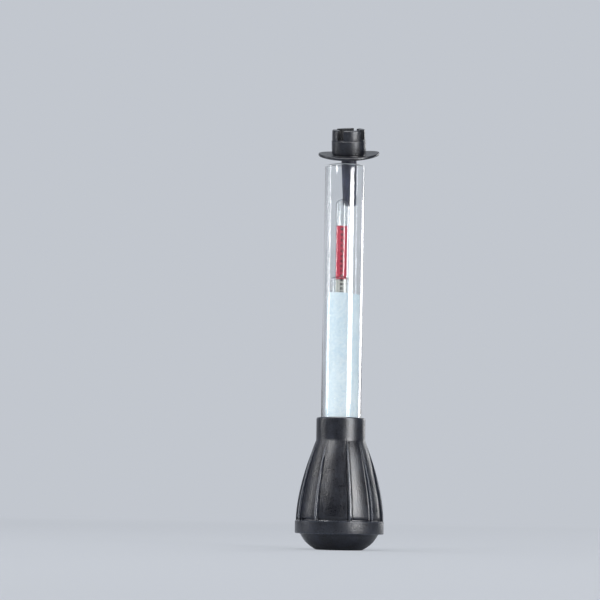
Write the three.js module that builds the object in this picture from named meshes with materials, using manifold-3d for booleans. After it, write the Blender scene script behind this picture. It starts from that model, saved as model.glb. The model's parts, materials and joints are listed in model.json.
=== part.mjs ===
// Battery hydrometer: a rubber squeeze bulb, a glass barrel with a float in it, and a stopper with a nozzle,
// stored with its plug outwards. Millimetres, +Z up along the barrel. The origin is the middle of the bulb's
// foot, on the surface that it stands on. Bearings are degrees from -Y, turning towards +X.

import * as THREE from 'three';
import { mergeVertices } from 'three/addons/utils/BufferGeometryUtils.js';
import Module from 'manifold-3d';

const manifold = await Module();
manifold.setup();

// Fits between pieces
const gripGap = 0.15;
const looseGap = 0.3;
const cutOverrun = 2;
const axisTolerance = 1e-6;

// Glass barrel
const barrelDiameter = 21.4;
const barrelWall = 1.3;
const barrelLength = 151.4;
const barrelSink = 16;
const rimRounding = 0.4;

// Rubber bulb
const bulbHeight = 69.8;
const bulbDiameter = 47.2;
const bulbWall = 2.2;
const bulbBearing = -9.7;
const collarHeight = 12;
const collarWall = 2.2;
const collarRounding = 0.9;
const flareShape = 1.7;
const shoulderThickness = 3;
const throatLip = 0.5;
const bandHeight = 6.6;
const ledgeRise = 0.5;
const footHeight = 8.4;
const footStep = 3;
const footDiameter = 24.6;
const footBulgeShares = { out: 0.76, up: 0.38 };
const baseThickness = 3;

// Ribs of the bulb
const ribsPerSide = 5;
const ribHeight = 1.3;
const thumbPanelAngle = 46.6;
const ribFootAngle = 8.4;
const ribCrestAngle = 4.6;
const ribFadeShare = 0.3;
const panelStepAngle = 8;

// Finger walls of the bulb, which flex inwards when it is squeezed
const fingerWallWidth = 11.6;
const fingerWallAboveBand = 3;
const fingerWallBelowCollar = 13.8;

// Float
const stemDiameter = 6.9;
const stemWall = 0.4;
const stemLength = 42;
const floatBodyDiameter = 10.8;
const floatBodyWall = 0.5;
const floatBodyLength = 60;
const floatShoulderRounding = 1.2;

// Scale in the stem
const scaleLength = 60;
const scalePaper = 0.25;
const scaleBelowDome = 13.4;

// Ballast in the float
const shotPerRing = 5;
const shotGap = 0.12;
const waxThickness = 2.5;

// Foam sleeve
const foamLength = 82.6;
const floatAboveFoam = 8;

// Stopper
const flangeDiameter = 32.8;
const flangeThickness = 1.5;
const flangeRounding = 0.4;
const plugHeight = 13.5;
const plugSwell = 0.2;
const crownTaper = 0.4;
const plugRounding = 0.6;
const crownWall = 3.7;
const crownDepth = 7.8;
const notchWidth = 3.7;
const notchDepth = 5.1;
const notchBearing = -32;
const stopperLean = -2;
const stopperPitch = 16.5;

// Nozzle
const nozzleBore = 4.2;
const nozzleTipWall = 1.6;
const nozzleTaper = 0.45;
const nozzleReach = 27;
const nozzleBearing = 147;
const nozzlePastDome = 2.8;
const nozzleToBarrel = 0.5;
const nozzleSocketDepth = 5;
const nozzleRounding = 0.5;

// Facets
const barrelFacets = 40;
const floatFacets = 28;
const stopperFacets = 40;
const nozzleFacets = 24;
const foamFacets = 36;
const flareRows = 9;
const cavityRows = 6;
const arcSteps = 5;
const domeSteps = 6;

// Sizes that follow
const barrelRadius = barrelDiameter / 2;
const boreRadius = barrelRadius - barrelWall;
const shoulderHeight = bulbHeight - barrelSink;
const rimHeight = shoulderHeight + barrelLength;
const collarRadius = barrelRadius + gripGap + collarWall;
const bandRadius = bulbDiameter / 2;
const bandTop = footHeight + bandHeight;
const flareTop = bulbHeight - collarHeight;
const flareFoot = bandTop + ledgeRise;
const stemRadius = stemDiameter / 2;
const floatBodyRadius = floatBodyDiameter / 2;
const floatBoreRadius = floatBodyRadius - floatBodyWall;
const foamTop = shoulderHeight + foamLength;
const floatFoot = foamTop + floatAboveFoam - floatBodyLength;
const floatTop = floatFoot + floatBodyLength + stemLength;
const nozzleTipRadius = nozzleBore / 2 + nozzleTipWall;
const nozzleRootRadius = nozzleTipRadius + nozzleTaper;
const plugRadius = boreRadius - gripGap;
const plugTop = flangeThickness + plugHeight;
const nozzleShift = boreRadius - nozzleToBarrel - nozzleTipRadius;
const floatShift = Math.max(0, stemRadius + looseGap + nozzleTipRadius - nozzleShift);

const rubber = new THREE.MeshStandardMaterial({ color: 0x191a1c, roughness: 0.55, metalness: 0 });
const hardRubber = new THREE.MeshStandardMaterial({ color: 0x2b2a33, roughness: 0.45, metalness: 0 });
const foam = new THREE.MeshStandardMaterial({ color: 0xe2eef3, roughness: 0.95, metalness: 0 });
const paper = new THREE.MeshStandardMaterial({ color: 0xf1efe9, roughness: 0.9, metalness: 0 });
const lead = new THREE.MeshStandardMaterial({ color: 0x6c7076, roughness: 0.5, metalness: 0.9 });
const wax = new THREE.MeshStandardMaterial({ color: 0x8c2f23, roughness: 0.5, metalness: 0 });
const glass = new THREE.MeshStandardMaterial({
  color: 0xd8ecf5,
  roughness: 0.05,
  metalness: 0,
  transparent: true,
  opacity: 0.35,
});

const radians = THREE.MathUtils.degToRad;

// The nozzle's tip stands between the float's stem and the bore, so the stem leans away to the other side.
const nozzleTipPlace = placeAt(nozzleBearing, nozzleShift, floatTop - nozzlePastDome);
const floatPlace = placeAt(nozzleBearing + 180, floatShift, floatFoot);

function placeAt(bearing, reach, height) {
  const angle = radians(bearing);
  return new THREE.Vector3(reach * Math.sin(angle), -reach * Math.cos(angle), height);
}

// Even columns round the axis for a plain turned piece.
function evenColumns(count) {
  return Array.from({ length: count }, (_, i) => ({ bearing: (360 / count) * i, rib: 1 }));
}

// A row of a turned shape. Relief is how far the row sinks between the ribs.
function row(radius, height, relief = 0) {
  return { radius, height, relief };
}

// Turns rows about Z. The rows run up the outside. They start and end on the axis, or close on themselves.
function turned(rows, columns, closesOnItself = false) {
  const points = [];
  const rings = rows.map(({ radius, height, relief }) => {
    if (radius === 0) {
      points.push(0, 0, height);
      return [points.length / 3 - 1];
    }
    return columns.map(({ bearing, rib }) => {
      const reach = radius - relief * (1 - rib);
      points.push(reach * Math.sin(radians(bearing)), -reach * Math.cos(radians(bearing)), height);
      return points.length / 3 - 1;
    });
  });
  const faces = [];
  const lastRing = closesOnItself ? rings.length : rings.length - 1;
  for (let i = 0; i < lastRing; i += 1) {
    const low = rings[i];
    const high = rings[(i + 1) % rings.length];
    for (let j = 0; j < columns.length; j += 1) {
      const next = (j + 1) % columns.length;
      if (low.length > 1) {
        faces.push(low[j], low[next], high[high.length > 1 ? next : 0]);
      }
      if (high.length > 1) {
        faces.push(low.length > 1 ? low[j] : low[0], high[next], high[j]);
      }
    }
  }
  const geometry = new THREE.BufferGeometry();
  geometry.setAttribute('position', new THREE.Float32BufferAttribute(points, 3));
  geometry.setIndex(faces);
  return geometry;
}

// Rows along an arc of an ellipse round a centre, from one angle to another, in degrees from +radius to +Z.
function arcRows(centre, size, fromAngle, toAngle, steps) {
  return Array.from({ length: steps + 1 }, (_, i) => {
    const angle = radians(fromAngle + ((toAngle - fromAngle) * i) / steps);
    const radius = centre.radius + size.across * Math.cos(angle);
    return row(radius < axisTolerance ? 0 : radius, centre.height + size.up * Math.sin(angle));
  });
}

function solidOf(geometry) {
  const bare = new THREE.BufferGeometry();
  bare.setAttribute('position', geometry.getAttribute('position').clone());
  bare.setIndex(geometry.index);
  const merged = mergeVertices(bare);
  return new manifold.Manifold(new manifold.Mesh({
    numProp: 3,
    vertProperties: merged.getAttribute('position').array,
    triVerts: new Uint32Array(merged.index.array),
  }));
}

function geometryOf(solid) {
  const mesh = solid.getMesh();
  const geometry = new THREE.BufferGeometry();
  geometry.setAttribute('position', new THREE.BufferAttribute(mesh.vertProperties, mesh.numProp));
  geometry.setIndex(new THREE.BufferAttribute(mesh.triVerts, 1));
  return geometry;
}

function pieceOf(name, geometry, material) {
  geometry.computeVertexNormals();
  const mesh = new THREE.Mesh(geometry, material);
  mesh.name = name;
  return mesh;
}

// Bearings of the bulb's columns: the foot and crest of each rib, and a few between ribs.
function bulbColumns() {
  const firstRib = thumbPanelAngle / 2;
  const ribStep = (180 - thumbPanelAngle) / (ribsPerSide - 1);
  const ribBearings = Array.from({ length: ribsPerSide * 2 }, (_, i) => {
    const side = i < ribsPerSide ? 0 : 180;
    return side + firstRib + ribStep * (i % ribsPerSide);
  });
  const columns = [];
  ribBearings.forEach((bearing, i) => {
    const middle = bulbBearing + bearing;
    columns.push({ bearing: middle - ribFootAngle / 2, rib: 0 });
    columns.push({ bearing: middle - ribCrestAngle / 2, rib: 1 });
    columns.push({ bearing: middle + ribCrestAngle / 2, rib: 1 });
    columns.push({ bearing: middle + ribFootAngle / 2, rib: 0 });
    const nextBearing = i + 1 < ribBearings.length ? ribBearings[i + 1] : ribBearings[0] + 360;
    const panelAngle = nextBearing - bearing - ribFootAngle;
    const steps = Math.max(1, Math.round(panelAngle / panelStepAngle));
    for (let k = 1; k < steps; k += 1) {
      columns.push({ bearing: middle + ribFootAngle / 2 + (panelAngle * k) / steps, rib: 0 });
    }
  });
  return columns;
}

// Outer radius of the bulb over its ribs, at a share of the way down from the collar to the band.
function flareRadius(share) {
  return collarRadius + (bandRadius - collarRadius) * (1 - (1 - share) ** flareShape);
}

function footRows() {
  const innerRadius = footDiameter / 2;
  const outerRadius = bandRadius - footStep;
  const curve = new THREE.QuadraticBezierCurve(
    new THREE.Vector2(innerRadius, 0),
    new THREE.Vector2(
      innerRadius + (outerRadius - innerRadius) * footBulgeShares.out,
      footHeight * footBulgeShares.up,
    ),
    new THREE.Vector2(outerRadius, footHeight),
  );
  return curve.getPoints(arcSteps).map((point) => row(point.x, point.y));
}

function flareOutside() {
  const rows = [];
  for (let i = 0; i <= flareRows; i += 1) {
    const share = 1 - i / flareRows;
    const fade = THREE.MathUtils.smoothstep(share, 0, ribFadeShare);
    rows.push(row(flareRadius(share), flareTop - (flareTop - flareFoot) * share, ribHeight * fade));
  }
  return rows;
}

function cavityInside() {
  const rows = [];
  const ceiling = shoulderHeight - shoulderThickness;
  const ceilingShare = (flareTop - ceiling) / (flareTop - flareFoot);
  for (let i = 0; i <= cavityRows; i += 1) {
    const share = ceilingShare + ((1 - ceilingShare) * i) / cavityRows;
    rows.push(row(flareRadius(share) - ribHeight - bulbWall, flareTop - (flareTop - flareFoot) * share));
  }
  rows.push(row(bandRadius - ribHeight - bulbWall, footHeight + bulbWall / 2));
  rows.push(row(footDiameter / 2, baseThickness));
  rows.push(row(0, baseThickness));
  return rows;
}

// The whole rubber bulb: foot, band, ribbed flare, collar, and inside it the seat, the throat and the cavity.
function bulbShell() {
  const mouthRadius = barrelRadius + gripGap;
  const throatRadius = floatBodyRadius - throatLip;
  return turned([
    row(0, 0),
    ...footRows(),
    row(bandRadius, footHeight),
    row(bandRadius, bandTop),
    ...flareOutside(),
    row(collarRadius, bulbHeight - collarRounding),
    row(collarRadius - collarRounding / 3, bulbHeight - collarRounding / 3),
    row(collarRadius - collarRounding, bulbHeight),
    row(mouthRadius + rimRounding, bulbHeight),
    row(mouthRadius, bulbHeight - rimRounding),
    row(mouthRadius, shoulderHeight),
    row(throatRadius, shoulderHeight),
    row(throatRadius, shoulderHeight - shoulderThickness),
    ...cavityInside(),
  ], bulbColumns());
}

// A round-ended bar that runs out from the axis through the bulb's wall, in the middle of a thumb panel.
function fingerBar(bearing, shrink) {
  const half = fingerWallWidth / 2 - shrink;
  const low = bandTop + fingerWallAboveBand + fingerWallWidth / 2;
  const high = flareTop - fingerWallBelowCollar - fingerWallWidth / 2;
  const outline = new THREE.Shape();
  outline.absarc(0, high, half, 0, Math.PI, false);
  outline.absarc(0, low, half, Math.PI, 2 * Math.PI, false);
  const bar = new THREE.ExtrudeGeometry(outline, {
    depth: bandRadius + cutOverrun,
    bevelEnabled: false,
    curveSegments: arcSteps,
  });
  const angle = radians(bearing);
  const across = new THREE.Vector3(Math.cos(angle), Math.sin(angle), 0);
  const up = new THREE.Vector3(0, 0, 1);
  const out = new THREE.Vector3(Math.sin(angle), -Math.cos(angle), 0);
  bar.deleteAttribute('normal');
  bar.deleteAttribute('uv');
  return solidOf(mergeVertices(bar.applyMatrix4(new THREE.Matrix4().makeBasis(across, up, out))));
}

function makeBulb() {
  const whole = solidOf(bulbShell());
  const front = bulbBearing;
  const back = bulbBearing + 180;
  const open = whole.subtract(fingerBar(front, 0)).subtract(fingerBar(back, 0));
  return [
    pieceOf('bulb', geometryOf(open), rubber),
    pieceOf('bulb_front_wall', geometryOf(whole.intersect(fingerBar(front, looseGap))), rubber),
    pieceOf('bulb_back_wall', geometryOf(whole.intersect(fingerBar(back, looseGap))), rubber),
  ];
}

function makeBarrel() {
  const middleRadius = (barrelRadius + boreRadius) / 2;
  const tube = turned([
    row(boreRadius, rimRounding),
    row(middleRadius - barrelWall / 4, 0),
    row(middleRadius + barrelWall / 4, 0),
    row(barrelRadius, rimRounding),
    row(barrelRadius, barrelLength - rimRounding),
    row(middleRadius + barrelWall / 4, barrelLength),
    row(middleRadius - barrelWall / 4, barrelLength),
    row(boreRadius, barrelLength - rimRounding),
  ], evenColumns(barrelFacets), true);
  const barrel = pieceOf('glass_barrel', tube, glass);
  barrel.position.z = shoulderHeight;
  return barrel;
}

function makeFoamSleeve() {
  const outline = new THREE.Shape();
  outline.absarc(0, 0, boreRadius - gripGap, 0, 2 * Math.PI, false);
  const hole = new THREE.Path();
  hole.absarc(floatPlace.x, floatPlace.y, floatBodyRadius + looseGap, 0, 2 * Math.PI, true);
  outline.holes.push(hole);
  const sleeve = pieceOf('foam_sleeve', new THREE.ExtrudeGeometry(outline, {
    depth: foamLength,
    bevelEnabled: false,
    curveSegments: foamFacets,
  }), foam);
  sleeve.position.z = shoulderHeight;
  return sleeve;
}

// Closed at the top by a round dome, open at the foot where it is joined to the body.
function makeStem() {
  const innerRadius = stemRadius - stemWall;
  const domeCentre = { radius: 0, height: floatBodyLength + stemLength - stemRadius };
  const outside = arcRows(domeCentre, { across: stemRadius, up: stemRadius }, 0, 90, domeSteps);
  const inside = arcRows(domeCentre, { across: innerRadius, up: innerRadius }, 90, 0, domeSteps);
  return pieceOf('float_stem_glass', turned([
    ...inside,
    row(innerRadius, floatBodyLength),
    row(stemRadius, floatBodyLength),
    ...outside,
  ], evenColumns(floatFacets)), glass);
}

// Round at the bottom, with a shoulder at the top and a mouth as wide as the stem's bore.
function makeFloatBody() {
  const mouthRadius = stemRadius - stemWall;
  const footCentre = { radius: 0, height: floatBodyRadius };
  const shoulderCentre = {
    radius: floatBodyRadius - floatShoulderRounding,
    height: floatBodyLength - floatShoulderRounding,
  };
  const outer = { across: floatShoulderRounding, up: floatShoulderRounding };
  const innerRounding = floatShoulderRounding - floatBodyWall;
  const inner = { across: innerRounding, up: innerRounding };
  const footOutside = { across: floatBodyRadius, up: floatBodyRadius };
  const footInside = { across: floatBoreRadius, up: floatBoreRadius };
  return pieceOf('float_body_glass', turned([
    ...arcRows(footCentre, footOutside, -90, 0, domeSteps),
    ...arcRows(shoulderCentre, outer, 0, 90, arcSteps),
    row(stemRadius, floatBodyLength),
    row(mouthRadius, floatBodyLength),
    ...arcRows(shoulderCentre, inner, 90, 0, arcSteps),
    ...arcRows(footCentre, footInside, 0, -90, domeSteps),
  ], evenColumns(floatFacets)), glass);
}

function makeScale() {
  const outerRadius = stemRadius - stemWall - gripGap;
  const innerRadius = outerRadius - scalePaper;
  const top = floatBodyLength + stemLength - scaleBelowDome;
  return pieceOf('scale_paper', turned([
    row(innerRadius, top - scaleLength),
    row(outerRadius, top - scaleLength),
    row(outerRadius, top),
    row(innerRadius, top),
  ], evenColumns(floatFacets), true), paper);
}

// The shot is as large as lets a ring of balls fit the float's bore: one ball lies in the round bottom, two
// rings stand on it, each turned by half a ball, and one more ball closes the top.
function shotPlaces() {
  const halfStep = Math.PI / shotPerRing;
  const spread = 1 / Math.sin(halfStep);
  const diameter = (2 * (floatBoreRadius - shotGap) - shotGap * spread) / (1 + spread);
  const pitch = diameter + shotGap;
  const ringRadius = floatBoreRadius - shotGap - diameter / 2;
  const ringRise = Math.sqrt(pitch ** 2 - (2 * ringRadius * Math.sin(halfStep / 2)) ** 2);
  const capRise = Math.sqrt(pitch ** 2 - ringRadius ** 2);
  const middle = floatBodyRadius;
  const places = [new THREE.Vector3(0, 0, middle - ringRadius)];
  [0, 1].forEach((ring) => {
    for (let i = 0; i < shotPerRing; i += 1) {
      const angle = halfStep * (2 * i + ring);
      const height = middle + ring * ringRise;
      places.push(new THREE.Vector3(ringRadius * Math.cos(angle), ringRadius * Math.sin(angle), height));
    }
  });
  places.push(new THREE.Vector3(0, 0, middle + ringRise + capRise));
  return { diameter, places };
}

function makeShot() {
  const { diameter, places } = shotPlaces();
  return places.map((place, i) => {
    const name = `ballast_shot_${String(i + 1).padStart(2, '0')}`;
    const ball = pieceOf(name, new THREE.IcosahedronGeometry(diameter / 2, 1), lead);
    ball.position.copy(place);
    return ball;
  });
}

function makeWax() {
  const { diameter, places } = shotPlaces();
  const foot = places.at(-1).z + diameter / 2 + shotGap;
  return pieceOf('ballast_wax', turned([
    row(0, foot),
    row(floatBoreRadius - shotGap, foot),
    row(floatBoreRadius - shotGap, foot + waxThickness),
    row(0, foot + waxThickness),
  ], evenColumns(floatFacets)), wax);
}

function makeFloat() {
  const float = new THREE.Group();
  float.add(makeStem(), makeFloatBody(), makeScale(), ...makeShot(), makeWax());
  float.position.copy(floatPlace);
  return float;
}

// The plug is a ring with four notches. Under its cup the bore leads down to the socket for the nozzle.
function makeStopperRubber() {
  const flangeRadius = flangeDiameter / 2;
  const socketRadius = nozzleRootRadius + gripGap;
  const cupRadius = plugRadius - crownWall;
  const boreTop = plugTop - crownDepth;
  const plugMiddle = flangeThickness + plugHeight / 2;
  const body = solidOf(turned([
    row(socketRadius, 0),
    row(flangeRadius - flangeRounding, 0),
    row(flangeRadius, flangeRounding),
    row(flangeRadius, flangeThickness - flangeRounding),
    row(flangeRadius - flangeRounding, flangeThickness),
    row(plugRadius - plugSwell, flangeThickness),
    row(plugRadius, plugMiddle),
    row(plugRadius - crownTaper, plugTop - plugRounding),
    row(plugRadius - crownTaper - plugRounding, plugTop),
    row(cupRadius, plugTop),
    row(cupRadius, boreTop),
    row(nozzleBore / 2, boreTop),
    row(nozzleBore / 2, nozzleSocketDepth),
    row(socketRadius, nozzleSocketDepth),
  ], evenColumns(stopperFacets), true));
  const cutHeight = notchDepth + cutOverrun;
  const cutLength = 2 * (plugRadius + cutOverrun);
  const cuts = [0, 90].map((turn) => {
    const cut = new THREE.BoxGeometry(notchWidth, cutLength, cutHeight);
    cut.translate(0, 0, plugTop - notchDepth + cutHeight / 2);
    cut.rotateZ(radians(notchBearing + turn));
    cut.deleteAttribute('normal');
    cut.deleteAttribute('uv');
    return solidOf(cut);
  });
  return pieceOf('stopper', geometryOf(body.subtract(cuts[0]).subtract(cuts[1])), rubber);
}

function makeNozzle() {
  const bore = nozzleBore / 2;
  const top = nozzleSocketDepth - looseGap;
  return pieceOf('intake_nozzle', turned([
    row(bore, -nozzleReach),
    row(nozzleTipRadius - nozzleRounding, -nozzleReach),
    row(nozzleTipRadius, -nozzleReach + nozzleRounding),
    row(nozzleRootRadius, 0),
    row(nozzleRootRadius, top),
    row(bore, top),
  ], evenColumns(nozzleFacets), true), hardRubber);
}

// The stopper lies loose and tilted, with the tip of its nozzle wedged beside the float's dome. Where a size is
// changed so that its flange would reach the barrel's rim, it lies on the rim.
function makeStopper() {
  const stopper = new THREE.Group();
  stopper.add(makeStopperRubber(), makeNozzle());
  stopper.rotation.set(radians(stopperPitch), radians(stopperLean), 0);
  const up = new THREE.Vector3(0, 0, 1).applyEuler(stopper.rotation);
  const place = nozzleTipPlace.clone().addScaledVector(up, nozzleReach);
  const rimLift = (barrelRadius * Math.hypot(up.x, up.y) - up.x * place.x - up.y * place.y) / up.z;
  place.z = Math.max(place.z, rimHeight + rimLift + looseGap);
  stopper.position.copy(place);
  return stopper;
}

const hydrometer = new THREE.Group();
hydrometer.add(...makeBulb(), makeBarrel(), makeFoamSleeve(), makeFloat(), makeStopper());

export default hydrometer;
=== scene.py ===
# Battery hydrometer: the looks of each piece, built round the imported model. Metres, +Z up along the barrel,
# the origin under the middle of the bulb's foot, the camera on the -Y side. The pieces' dictionaries are in
# millimetres and degrees, and a bearing is the turn from -Y towards +X.
import json
import math
import random

import bpy
from mathutils import Matrix, Vector

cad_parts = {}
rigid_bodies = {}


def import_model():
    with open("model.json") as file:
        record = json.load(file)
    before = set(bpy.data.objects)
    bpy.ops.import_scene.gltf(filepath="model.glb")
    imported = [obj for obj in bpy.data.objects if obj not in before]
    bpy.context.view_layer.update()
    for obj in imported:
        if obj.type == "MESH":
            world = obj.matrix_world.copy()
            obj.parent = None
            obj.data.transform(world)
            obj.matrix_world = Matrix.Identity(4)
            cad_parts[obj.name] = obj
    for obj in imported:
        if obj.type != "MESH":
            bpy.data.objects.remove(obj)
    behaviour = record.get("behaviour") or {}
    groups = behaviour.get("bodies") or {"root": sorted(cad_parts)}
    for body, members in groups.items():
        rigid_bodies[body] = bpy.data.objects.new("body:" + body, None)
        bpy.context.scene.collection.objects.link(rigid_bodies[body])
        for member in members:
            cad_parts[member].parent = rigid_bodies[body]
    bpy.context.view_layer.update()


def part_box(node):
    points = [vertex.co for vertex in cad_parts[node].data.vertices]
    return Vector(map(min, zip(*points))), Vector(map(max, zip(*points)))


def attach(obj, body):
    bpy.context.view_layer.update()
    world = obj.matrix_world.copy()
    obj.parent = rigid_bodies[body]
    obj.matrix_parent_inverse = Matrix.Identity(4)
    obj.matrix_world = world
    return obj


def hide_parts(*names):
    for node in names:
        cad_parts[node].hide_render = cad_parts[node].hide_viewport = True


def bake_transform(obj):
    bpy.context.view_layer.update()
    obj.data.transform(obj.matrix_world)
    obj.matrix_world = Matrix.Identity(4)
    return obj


for leftover in list(bpy.data.objects):
    bpy.data.objects.remove(leftover)
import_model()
mm = 0.001
mergeWithin = 0.001 * mm  # points this near to each other are one


# Modelling helpers

def deselectAll():
    if bpy.context.mode != "OBJECT":
        bpy.ops.object.mode_set(mode="OBJECT")
    bpy.ops.object.select_all(action="DESELECT")


def pick(piece):
    deselectAll()
    piece.select_set(True)
    bpy.context.view_layer.objects.active = piece


def settle(piece):  # puts the piece's place, turn and size into its mesh
    pick(piece)
    bpy.ops.object.transform_apply(location=True, rotation=True, scale=True)


def applyModifier(piece, kind, **settings):
    pick(piece)
    made = piece.modifiers.new(kind.title(), kind)
    for name, value in settings.items():
        setattr(made, name, value)
    bpy.ops.object.modifier_apply(modifier=made.name)


def smooth(piece, angle=40):
    pick(piece)
    bpy.ops.object.shade_smooth_by_angle(angle=math.radians(angle))


def faceOutwards(piece, merge=False):
    pick(piece)
    bpy.ops.object.mode_set(mode="EDIT")
    bpy.ops.mesh.select_all(action="SELECT")
    if merge:
        bpy.ops.mesh.remove_doubles(threshold=mergeWithin)
    bpy.ops.mesh.normals_make_consistent(inside=False)
    bpy.ops.object.mode_set(mode="OBJECT")


def rounded(corners, steps=4):
    # Each corner is (radius, height) or (radius, height, rounding). A rounding swaps the corner for an arc.
    points, most = [], 0.49  # most of an edge that one arc may take
    for i, corner in enumerate(corners):
        here = Vector(corner[:2])
        rounding = corner[2] if len(corner) > 2 else 0
        if not rounding:
            points.append(tuple(here))
            continue
        back = Vector(corners[i - 1][:2]) - here
        ahead = Vector(corners[(i + 1) % len(corners)][:2]) - here
        half = back.angle(ahead) / 2
        reach = min(rounding / math.tan(half), back.length * most, ahead.length * most)
        radius = reach * math.tan(half)
        middle = here + (back.normalized() + ahead.normalized()).normalized() * (radius / math.sin(half))
        start = here + back.normalized() * reach - middle
        turn = start.angle_signed(here + ahead.normalized() * reach - middle)
        for k in range(steps + 1):
            points.append(tuple(middle + Matrix.Rotation(-turn * k / steps, 2) @ start))
    return points


def drawLine(name, points, closed=False):
    # A plane shrunk to its middle is the first point, and each further one is extruded from the last.
    deselectAll()
    first = Vector((points[0][0] * mm, 0, points[0][1] * mm))
    bpy.ops.mesh.primitive_plane_add(size=mm, location=first)
    piece = bpy.context.object
    piece.name = name
    settle(piece)
    bpy.ops.object.mode_set(mode="EDIT")
    bpy.ops.mesh.merge(type="CENTER")
    last = first
    for radius, height in points[1:]:
        point = Vector((radius * mm, 0, height * mm))
        bpy.ops.mesh.extrude_region_move(TRANSFORM_OT_translate={"value": point - last})
        last = point
    if closed:
        bpy.ops.object.mode_set(mode="OBJECT")
        for vertex in piece.data.vertices:
            vertex.select = vertex.index in (0, len(points) - 1)
        bpy.ops.object.mode_set(mode="EDIT")
        bpy.ops.mesh.edge_face_add()
    bpy.ops.mesh.select_all(action="SELECT")
    return piece


def spinRound(piece, turns):
    # Turns are (degrees, steps), one after the other, so that columns lie where a shape needs them.
    for degrees, steps in turns:
        bpy.ops.mesh.spin(steps=steps, angle=math.radians(degrees), center=(0, 0, 0), axis=(0, 0, 1))
    faceOutwards(piece, merge=True)


def turnPiece(name, corners, steps, closed=True):
    piece = drawLine(name, rounded(corners), closed)
    spinRound(piece, [(360, steps)])
    smooth(piece)
    return piece


def ease(value, low, high):
    share = min(max((value - low) / (high - low), 0), 1)
    return share * share * (3 - 2 * share)


def bearingOf(point):
    return math.degrees(math.atan2(point.x, -point.y))


def atBearing(angle, reach):  # a level place from a bearing in radians
    return Vector((reach * math.sin(angle), -reach * math.cos(angle), 0))


def copyOf(piece, name):
    twin = piece.copy()
    twin.data = piece.data.copy()
    twin.name = name
    bpy.context.collection.objects.link(twin)
    return twin


# Materials

class Signal:  # one socket of a tree of nodes, which takes part in sums
    def __init__(self, tree, socket=None):
        self.tree = tree
        self.socket = socket

    def node(self, kind, settings=None, sockets=None, output=0):
        made = self.tree.nodes.new("ShaderNode" + kind)
        for name, value in (settings or {}).items():
            setattr(made, name, value)
        for name, value in (sockets or {}).items():
            if isinstance(value, Signal):
                self.tree.links.new(value.socket, made.inputs[name])
            else:
                made.inputs[name].default_value = value
        return Signal(self.tree, made.outputs[output])

    def maths(self, operation, *values):
        return self.node("Math", {"operation": operation}, dict(enumerate(values)))

    def __add__(self, other):
        return self.maths("ADD", self, other)

    def __radd__(self, other):
        return self.maths("ADD", other, self)

    def __sub__(self, other):
        return self.maths("SUBTRACT", self, other)

    def __rsub__(self, other):
        return self.maths("SUBTRACT", other, self)

    def __mul__(self, other):
        return self.maths("MULTIPLY", self, other)

    def __rmul__(self, other):
        return self.maths("MULTIPLY", other, self)

    def between(self, low, high):  # 0 at low, 1 at high, smooth between
        return self.node("MapRange", {"interpolation_type": "SMOOTHSTEP"},
                         {"Value": self, "From Min": low, "From Max": high})

    def blend(self, first, second):  # colours, first where this is 0
        return self.node("Mix", {"data_type": "RGBA"}, {0: self, 6: first, 7: second}, 2)

    def noise(self, size, detail=2, roughness=0.5, stretch=(1, 1, 1)):  # size of a feature in millimetres
        place = self.node("Mapping", sockets={"Vector": self, "Scale": [s / (size * mm) for s in stretch]})
        return self.node("TexNoise", sockets={
            "Vector": place, "Scale": 1, "Detail": detail, "Roughness": roughness})


def colour(red, green, blue):
    return (red, green, blue, 1)


def newMaterial(name, **values):
    # A Principled surface with its even values set on its own sockets, and the place on the piece
    material = bpy.data.materials.new(name)
    material.use_nodes = True
    surface = material.node_tree.nodes["Principled BSDF"]
    for socket, value in values.items():
        surface.inputs[socket.replace("_", " ")].default_value = value
    place = Signal(material.node_tree).node("TexCoord", output="Object")
    return material, surface, place


def feed(surface, socket, signal):
    signal.tree.links.new(signal.socket, surface.inputs[socket])


def bump(surface, height, depth):  # depth in millimetres for a height of 1
    sockets = {"Height": height, "Strength": 1, "Distance": depth * mm}
    feed(surface, "Normal", height.node("Bump", sockets=sockets))


def shadeBy(surface, noise, look, first, second):  # colour and roughness that follow one noise
    feed(surface, "Base Color", noise.between(look["from"], look["to"]).blend(look[first], look[second]))
    feed(surface, "Roughness", look["roughness"] + noise * look["roughen"])


def mixSurfaces(tree, first, factor, second):  # the first where the factor is 0, into the material's output
    mixed = factor.node("MixShader", sockets={0: factor, 2: second})
    tree.links.new(first.outputs[0], mixed.socket.node.inputs[1])
    tree.links.new(mixed.socket, tree.nodes["Material Output"].inputs["Surface"])


def dress(piece, material):
    piece.data.materials.clear()
    piece.data.materials.append(material)


# In the looks, sizes of spots are millimetres, "from" and "to" bound the part of a noise that shows, and
# "roughen" and names that end in "Rough" or "Bump" are how much of it goes into the roughness or the bump.

rubberLook = {
    "dark": colour(0.006, 0.007, 0.012), "bloom": colour(0.026, 0.031, 0.048),
    # The rubbed colour is lighter for wear and for a painted highlight on the ribs' crests and lips
    "wearAndHighlight": colour(0.07, 0.08, 0.105),
    "from": 0.4, "to": 0.7, "cloudShare": 0.5, "wearAndHighlightShare": 0.7, "shine": 0.5, "roughness": 0.33,
    "cloudRough": 0.22, "speckleRough": 0.3, "rubbedSmooth": 0.1, "paintedShadeRough": 0.5,
    "cloud": 9, "speckle": 0.6, "pebble": 1.1, "pore": 0.35,
    "poreBump": 0.4, "speckleBump": 0.8, "pebbleBump": 0.8, "cloudBump": 1.6, "depth": 0.06,
}


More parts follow.
